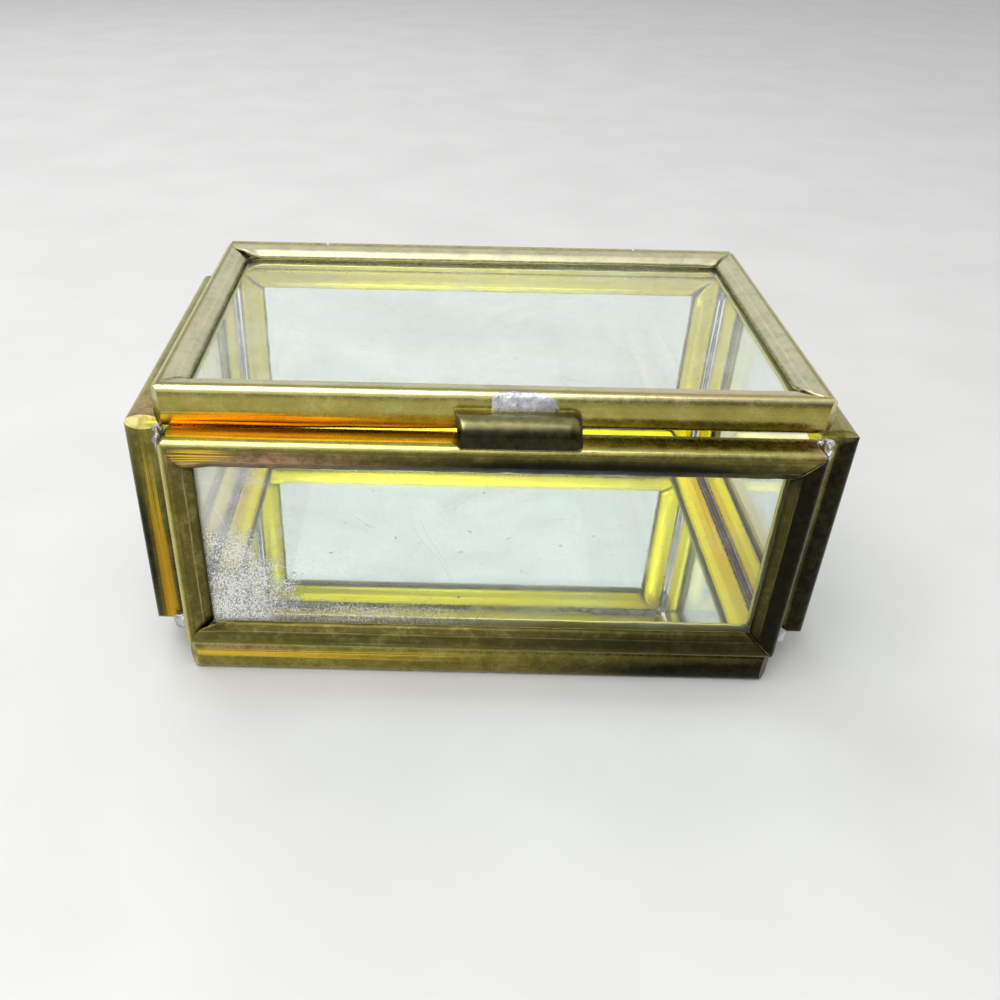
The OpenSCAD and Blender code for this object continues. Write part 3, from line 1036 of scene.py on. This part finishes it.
@dataclass
class SolderJoint:
    """A solder joint made of lumps that run into each other and wet the brass round them."""

    name: str
    node: str
    body: str
    drops: tuple[Drop, ...]
    seed: float

    def build(self, metal: bpy.types.Material) -> None:
        """Builds the joint in place of its CAD node, in the given solder."""
        bm = bmesh.new()
        for index, drop in enumerate(self.drops):
            ret = bmesh.ops.create_icosphere(bm, subdivisions=4, radius=1.0)
            longest = max(drop.reach)
            for vert in ret["verts"]:
                p = vert.co.copy()
                q = Vector(p[i] * drop.reach[i] / longest for i in range(3)) * min(longest, 3.0)
                own = self.seed * 7.0 + index * 3.3
                swell = 1.0 + drop.lump * wander(q.x * 0.9 + own, q.y * 0.9, q.z * 0.9)
                swell += 0.25 * drop.lump * wander(q.x * 3.0, q.y * 3.0 + own, q.z * 3.0)
                vert.co = Vector(p[i] * drop.reach[i] * swell + drop.at[i] for i in range(3))
        smooth_faces(bm)
        finished(self.name, bm, metal, self.body, self.node)


@dataclass
class PullTab:
    """The tab: a rounded strip with a sloping fold at its left end and a rounded right end."""

    name: str = "front_tab"
    node: str = "pull_tab"
    body: str = "lid"
    width: float = 5.1
    round_back: float = 2.8
    sheet: float = 0.4
    lean: float = 42.5
    first: float = 0.45
    fold: float = 1.35
    round_end: float = 2.0
    flare: tuple[float, float] = (0.22, 0.5)
    slant: float = 1.0

    def height(self, x: float, arc: float, end: float) -> float:
        """Gives the back's height above its lips.

        Args:
            x: Place along the tab from its middle.
            arc: Height of the full section there.
            end: Half the tab's length.

        Returns:
            The height, lowered towards both ends.
        """
        left = self.first + (end + x) * self.fold
        if arc > left:
            arc = left + 0.12 * (1.0 - math.exp(-(arc - left) / 0.12))
        past = (x - end + self.round_end) / self.round_end
        return arc * math.sqrt(max(1.0 - max(past, 0.0) ** 2, 0.03))

    def build(self, metal: bpy.types.Material) -> None:
        """Builds the tab in place of its CAD node, in the given brass."""
        low, high = box_of(self.node)
        middle, end = (low.x + high.x) / 2, (high.x - low.x) / 2
        bm = bmesh.new()
        bmesh.ops.create_grid(bm, x_segments=60, y_segments=26, size=1.0)
        strip = bm.verts.layers.float_vector.new("strip")
        rim = bm.verts.layers.float.new("rim")
        marks = bm.verts.layers.float_vector.new("marks")
        opening = math.asin(self.width / 2 / self.round_back)
        sink = self.round_back * math.cos(opening)
        for vert in bm.verts:
            a, b = vert.co.x, vert.co.y
            x = end * math.sin(a * math.pi / 2)
            turned = min(abs(b) / 0.93, 1.0) * opening
            across = math.copysign(self.round_back * math.sin(turned), b)
            arc = self.round_back * math.cos(turned) - sink
            tall = self.height(x, arc, end)
            if abs(b) > 0.94:
                across += math.copysign(self.flare[b > 0] * (1.0 - 0.5 * smooth(abs(a) * 8.0 - 7.0)), b)
            x += self.slant * (1.0 - b) / 2 * smooth((2.5 - x - end) / 3.0)
            taper = smooth((x - end + 1.3) / 1.3)
            across *= 1.0 - 0.16 * taper ** 2
            tall += 0.04 * wander(x * 0.5, across, 3.0) * smooth(tall)
            vert[strip] = Vector((x + 900.0, 1.0 + across * 0.2, 1.0))
            # Painted highlights: bright lines along the lips and cut edges, and a pale facet at the left end.
            vert[rim] = 1.0 if vert.is_boundary else 0.86 * float(abs(b) > 0.9)
            facet = smooth(1.2 - math.hypot((x + end - 1.1) / 0.6, (across - 0.4) / 0.9))
            vert[rim] = max(vert[rim], 0.96 * facet)
            pinch = 0.6 * smooth((1.0 - x - end) / 0.8)
            # Pink bloom at the left end, and painted dark over the tab, most on its lower half, a painted
            # dark reflection, kept off the facet.
            vert[marks] = Vector((0.0, pinch, (0.42 + 0.53 * smooth(0.45 - across * 0.7)) * (1.0 - facet)))
            vert.co = Vector((x, across - self.width / 2, tall))
        tilt = math.radians(self.lean)
        lip = Vector((middle, low.y + self.width * math.cos(tilt), low.z + self.width * math.sin(tilt)))
        turn = Matrix.Rotation(tilt, 4, "X")
        bmesh.ops.transform(bm, matrix=Matrix.Translation(lip) @ turn, verts=bm.verts[:])
        for vert in bm.verts:
            vert.co.y = max(vert.co.y, low.y)
        face_front(bm)
        finished(self.name, bm, metal, self.body, self.node, self.sheet)


@dataclass
class TabPatch:
    """The wiped patch of solder over the lid's front edge, thin at its rim."""

    name: str = "tab_patch"
    node: str = "solder_tab"
    body: str = "lid"
    half: float = 4.8
    top: float = 2.68
    thick: float = 0.26
    sheet: float = 0.15
    section: CameSection = field(default_factory=CameSection)

    def build(self, metal: bpy.types.Material) -> None:
        """Builds the patch on the lid's came in place of its CAD node, in the given solder."""
        low, high = box_of(self.node)
        lid_low, lid_high = box_of("frame_lid")
        middle = (low.x + high.x) / 2
        nose_z = (lid_low.z + lid_high.z) / 2
        bm = bmesh.new()
        bmesh.ops.create_grid(bm, x_segments=56, y_segments=28, size=1.0)
        section = self.section
        for vert in bm.verts:
            a, b = vert.co.x, vert.co.y
            top = self.top - 0.6 * abs(a + 0.1) ** 3.0 + 0.07 * wander(a * 3.0, 1.0)
            x = middle + a * (self.half + 0.3 * wander(b * 1.6, a, 4.0) * abs(a) - 0.25 * (1 + b) * abs(a))
            u = 0.1 + (top - 0.1) * math.sin((b + 1) * math.pi / 4)
            v = section.back_v(u)
            slope = (section.back_v(u + 0.02) - section.back_v(u - 0.02)) / 0.04
            out = Vector((0.0, -1.0, slope)).normalized()
            rim = smooth((1 - abs(a)) / 0.14) * smooth((1 - b) / 0.2)
            lift = self.thick * rim * (0.8 + 0.35 * wander(a * 3.5, b * 2.0))
            spot = Vector((x, lid_low.y + v, nose_z + u)) + out * (lift + 0.015 - 0.06 * (1 - rim))
            spot.z = min(spot.z, lid_high.z)
            vert.co = spot
        face_front(bm)
        finished(self.name, bm, metal, self.body, self.node, self.sheet)


@dataclass
class MirrorFilm:
    """The mirror's silver film, bedded into the back of its glass so that nothing shows between them."""

    node: str = "mirror_silver"
    bed: float = 0.02
    corner: float = 0.8

    def build(self, silver: bpy.types.Material) -> None:
        """Builds the film in place of its CAD node, in the given silvering."""
        low, high = box_of(self.node)
        high.z += self.bed
        bm = bmesh.new()
        bmesh.ops.create_cube(bm, size=1.0)
        bmesh.ops.scale(bm, vec=high - low, verts=bm.verts[:])
        bmesh.ops.translate(bm, vec=(low + high) / 2, verts=bm.verts[:])
        upright = [e for e in bm.edges if abs(e.verts[0].co.z - e.verts[1].co.z) > 1e-3]
        bmesh.ops.bevel(bm, geom=upright, offset=self.corner, offset_type="OFFSET", affect="EDGES",
                        segments=3, profile=0.5, material=-1)
        finished("silver_film", bm, silver, "box", self.node)


@dataclass
class GrooveFill:
    """A dark brown line down the groove between the floor's came and a side wall's came, in mm."""

    name: str
    side: float
    at: tuple[float, float] = (46.15, 5.35)
    length: float = 55.0
    thick: float = 0.52
    steps: int = 44

    def build(self, groove_dark: bpy.types.Material) -> None:
        """Builds the line in the given material."""
        bm = bmesh.new()
        ring = bmesh.ops.create_circle(bm, cap_ends=True, segments=12, radius=self.thick)
        bmesh.ops.rotate(bm, cent=(0, 0, 0), matrix=Matrix.Rotation(math.pi / 2, 3, "X"), verts=ring["verts"])
        bmesh.ops.translate(bm, vec=(0, -self.length / 2, 0), verts=bm.verts[:])
        faces = bm.faces[:]
        for _ in range(self.steps):
            ret = bmesh.ops.extrude_face_region(bm, geom=faces)
            moved = [g for g in ret["geom"] if isinstance(g, bmesh.types.BMVert)]
            faces = [g for g in ret["geom"] if isinstance(g, bmesh.types.BMFace)]
            bmesh.ops.translate(bm, vec=(0, self.length / self.steps, 0), verts=moved)
        for vert in bm.verts:
            x, y, z = vert.co
            swell = 1.0 + 0.2 * wander(y * 0.6, self.side) + 0.08 * wander(y * 2.0, x * 3.0)
            vert.co = Vector((x * swell + self.side * self.at[0], y, z * swell + self.at[1]))
        short = self.length / 2 - 0.1
        inner = [f for f in bm.faces if abs(f.normal.y) > 0.9 and abs(f.calc_center_median().y) < short]
        bmesh.ops.delete(bm, geom=inner, context="FACES_ONLY")
        bmesh.ops.recalc_face_normals(bm, faces=bm.faces[:])
        smooth_faces(bm)
        finished(self.name, bm, groove_dark, "box")


@dataclass
class Casket:
    """The whole casket's folded frames and solder joints."""

    corner: tuple[float, float] = (46.4, 29.4)

    def came(self) -> list[CameFrame]:
        """Lists the six folded frames."""
        crease, end_over, start_over = Fold.CREASE, Fold.END_OVER, Fold.START_OVER
        return [
            CameFrame("front_came", "frame_front", "box", Facing.FRONT,
                      (crease, crease, end_over, start_over), 1.0, painted_dark_runs=(1,)),
            CameFrame("rear_came", "frame_rear", "box", Facing.REAR,
                      (end_over, crease, start_over, crease), 2.0),
            CameFrame("left_came", "frame_left", "box", Facing.LEFT,
                      (crease, end_over, crease, end_over), 3.0),
            CameFrame("right_came", "frame_right", "box", Facing.RIGHT,
                      (start_over, crease, end_over, crease), 4.0, painted_dark_runs=(3,)),
            CameFrame("floor_came", "frame_floor", "box", Facing.UNDER,
                      (crease, end_over, crease, crease), 5.0),
            CameFrame("lid_came", "frame_lid", "lid", Facing.TOP,
                      (start_over, crease, end_over, crease), 6.0, sag=0.78),
        ]

    def joints(self) -> list[SolderJoint]:
        """Lists the solder joints that have lumps of their own."""
        made = []
        for node, sx, sy, big in (("solder_front_left", -1, -1, 1.0), ("solder_front_right", 1, -1, 1.25),
                                  ("solder_rear_left", -1, 1, 1.1), ("solder_rear_right", 1, 1, 1.5)):
            x, y = sx * self.corner[0], sy * self.corner[1]
            drops = (
                Drop((x, y + sy * 0.6, 40.8), (0.6 * big, 1.6, 1.7 * big), 0.5),
                Drop((x + sx * 0.2, y - sy * 0.3, 42.0), (0.85 * big ** 2, 1.0, 0.6), 0.45),
                Drop((x + sx * 0.6, y - sy * 0.3, 6.9), (1.7, 0.95, 1.3), 0.5),
                Drop((x, y, 24.0), (0.42, 0.42, 17.0), 0.25),
            )
            made.append(SolderJoint(node.replace("solder", "joint"), node, "box", drops, big + sx + 2 * sy))
        return made


@dataclass(frozen=True)
class Studio:
    """Pale floor, soft lights and the camera."""

    focal_px: float = 971.2
    pitch: float = 33.93
    yaw: float = -0.571
    roll: float = 0.988
    stand: Colour = (-8.05, -146.6, 109.86)
    middle_px: tuple[float, float] = (423.6, 501.2)
    frame_px: float = 1000.0
    sensor: float = 36.0
    ambient: float = 0.6

    def camera(self) -> None:
        """Sets up the camera where it stood, with its frame's middle off the optical axis."""
        data = bpy.data.cameras.new("camera")
        data.sensor_width = self.sensor
        data.lens = self.focal_px / self.frame_px * self.sensor
        data.shift_x = 0.5 - self.middle_px[0] / self.frame_px
        data.shift_y = self.middle_px[1] / self.frame_px - 0.5
        data.clip_start = 0.005
        pitch, yaw, roll = (math.radians(a) for a in (self.pitch, self.yaw, self.roll))
        ahead = Vector((math.sin(yaw) * math.cos(pitch), math.cos(yaw) * math.cos(pitch), -math.sin(pitch)))
        level = Vector((math.cos(yaw), -math.sin(yaw), 0.0))
        rise = level.cross(ahead)
        right = level * math.cos(roll) + rise * math.sin(roll)
        top = -level * math.sin(roll) + rise * math.cos(roll)
        eye = linked("camera", data)
        turn = Matrix((right, top, -ahead)).transposed().to_4x4()
        eye.matrix_world = Matrix.Translation(Vector(self.stand) * MM) @ turn
        bpy.context.scene.camera = eye

    def lamp(self, name: str, at: Colour, size: float, watts: float, shines: bool) -> None:
        """Adds one soft square lamp aimed at the casket.

        Args:
            name: Its name.
            at: Its place, in metres.
            size: Its side, in metres.
            watts: Its power.
            shines: Whether metal shows it as a highlight.
        """
        data = bpy.data.lights.new(name, "AREA")
        data.size = size
        data.energy = watts
        lamp = linked(name, data)
        lamp.visible_glossy = shines
        lamp.visible_transmission = shines
        away = Vector(at) - Vector((0, 0, 0.02))
        lamp.matrix_world = Matrix.Translation(at) @ away.to_track_quat("Z", "Y").to_matrix().to_4x4()

    def world(self) -> None:
        """Makes a pale surround, dimmer in front, that metal and glass see at full brightness."""
        k = Sketch("surround", world=True)
        path = k.add("LightPath")
        ahead = k.split(k.add("TexCoord").outputs["Generated"])[1]
        dim, bright = (0.18, 0.18, 0.175), (0.93, 0.945, 0.94)
        shade = k.ramp(k.times(k.plus(ahead, 1.0), 0.5), ((0.08, dim), (0.5, bright)))
        plain = k.most(path.outputs["Is Camera Ray"], path.outputs["Is Transmission Ray"])
        seen = k.most(plain, path.outputs["Is Glossy Ray"])
        back = k.add("Background")
        k.put(back.inputs["Color"], k.blend(plain, shade, (0.93, 0.94, 0.94)))
        k.put(back.inputs["Strength"], k.plus(k.times(seen, 1.0 - self.ambient), self.ambient))
        bpy.context.scene.world = k.done(back.outputs[0])

    def floor(self) -> None:
        """Lays the pale floor."""
        bm = bmesh.new()
        bmesh.ops.create_grid(bm, x_segments=1, y_segments=1, size=2.5)
        mesh = bpy.data.meshes.new("floor")
        bm.to_mesh(mesh)
        bm.free()
        k = Sketch("pale_floor")
        spot = k.place()
        colour = k.blend(k.span(k.cloud(spot, 30.0, 3.0), 0.3, 0.7), (0.70, 0.70, 0.69), (0.74, 0.74, 0.73))
        shader = k.surface(Base_Color=colour, Roughness=0.55)
        mesh.materials.append(k.done(shader.outputs[0]))
        linked("floor", mesh)

    def build(self) -> None:
        """Sets the whole stage."""
        bpy.context.scene.view_settings.view_transform = "Standard"
        self.camera()
        self.world()
        self.floor()
        self.lamp("window", (-0.30, 0.45, 0.62), 0.5, 1.8, False)
        self.lamp("room", (-0.17, -0.50, 0.37), 0.62, 1.1, True)
        self.lamp("card", (-0.12, -0.17, 0.52), 0.44, 1.9, True)
        log.info("stage: camera, pale floor, a soft window lamp and two lit cards")


def dress(material: bpy.types.Material, *nodes: str) -> None:
    """Gives CAD nodes a better material in all their slots, and leaves their shapes alone.

    Args:
        material: The material.
        *nodes: The nodes' names.
    """
    for node in nodes:
        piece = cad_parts[node]
        if not piece.data.materials:
            piece.data.materials.append(material)
        for slot in piece.material_slots:
            slot.material = material
        log.info("%s: dressed in %s", node, material.name)


def main() -> None:
    """Builds every piece in order."""
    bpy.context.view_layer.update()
    Studio().build()
    casket = Casket()
    # Copies of one brass, toned partly by painted light: the walls' dark flanges are partly a painted dark
    # reflection, the floor's darker copy is a painted dark reflection, and the lid's pale grey flanges and
    # paler bands are a painted sheen and painted highlights.
    wall_brass = AgedBrass("wall_brass").material()
    floor_brass = AgedBrass("floor_brass", back=(0.28, 0.235, 0.05), tarnish=0.45).material()
    lid_brass = AgedBrass(
        "lid_brass", back=(0.38, 0.335, 0.08), flange=(0.56, 0.54, 0.36), dark=(0.15, 0.125, 0.05),
        pale=(0.80, 0.77, 0.42), rough=0.22, satin=0.42, tarnish=0.15).material()
    brass = {"frame_lid": lid_brass, "frame_floor": floor_brass}
    for came in casket.came():
        came.build(brass.get(came.node, wall_brass))
    plain = AgedBrass("drawn_brass", on_strip=False, back=(0.46, 0.41, 0.17), tarnish=0.4)
    dress(plain.material(), "hinge_knuckle_left", "hinge_knuckle_right", "hinge_knuckle_lid", "hinge_pin")
    tab_brass = AgedBrass("tab_brass", back=(0.27, 0.25, 0.12), flange=(0.10, 0.09, 0.035),
                          rough=0.3, satin=0.34, tarnish=0.3)
    PullTab().build(tab_brass.material())
    dress(PaneGlass("clear_glass").material(), "pane_rear", "pane_left", "pane_right")
    dress(PaneGlass("lid_glass", tint=(0.93, 0.975, 0.95), dust=0.1).material(), "pane_lid")
    dress(PaneGlass("front_glass", dust=0.04, patch_at=(-0.0375, -0.0325, 0.0135)).material(), "pane_front")
    dress(PaneGlass("mirror_glass", tint=(0.93, 0.975, 0.955), dust=0.03).material(), "mirror_glass")
    MirrorFilm().build(Silvering().material())
    dress(BackingPaint().material(), "mirror_backing")
    solder = OldSolder().material()
    for joint in casket.joints():
        joint.build(solder)
    wiped = OldSolder("tab_solder", pale=(0.97, 0.97, 1.0), dull=(0.52, 0.53, 0.58), warmth=0.0, pits=0.0004)
    TabPatch().build(wiped.material())
    dress(solder, "solder_floor_front", "solder_floor_rear", "solder_hinge_left", "solder_hinge_right",
          "solder_hinge_lid")
    groove_dark = DarkFill().material()
    for name, side in (("left_groove_fill", -1.0), ("right_groove_fill", 1.0)):
        GrooveFill(name, side).build(groove_dark)


if __name__ == "__main__":
    logging.basicConfig(level=logging.INFO, format="%(name)s: %(message)s")
    main()
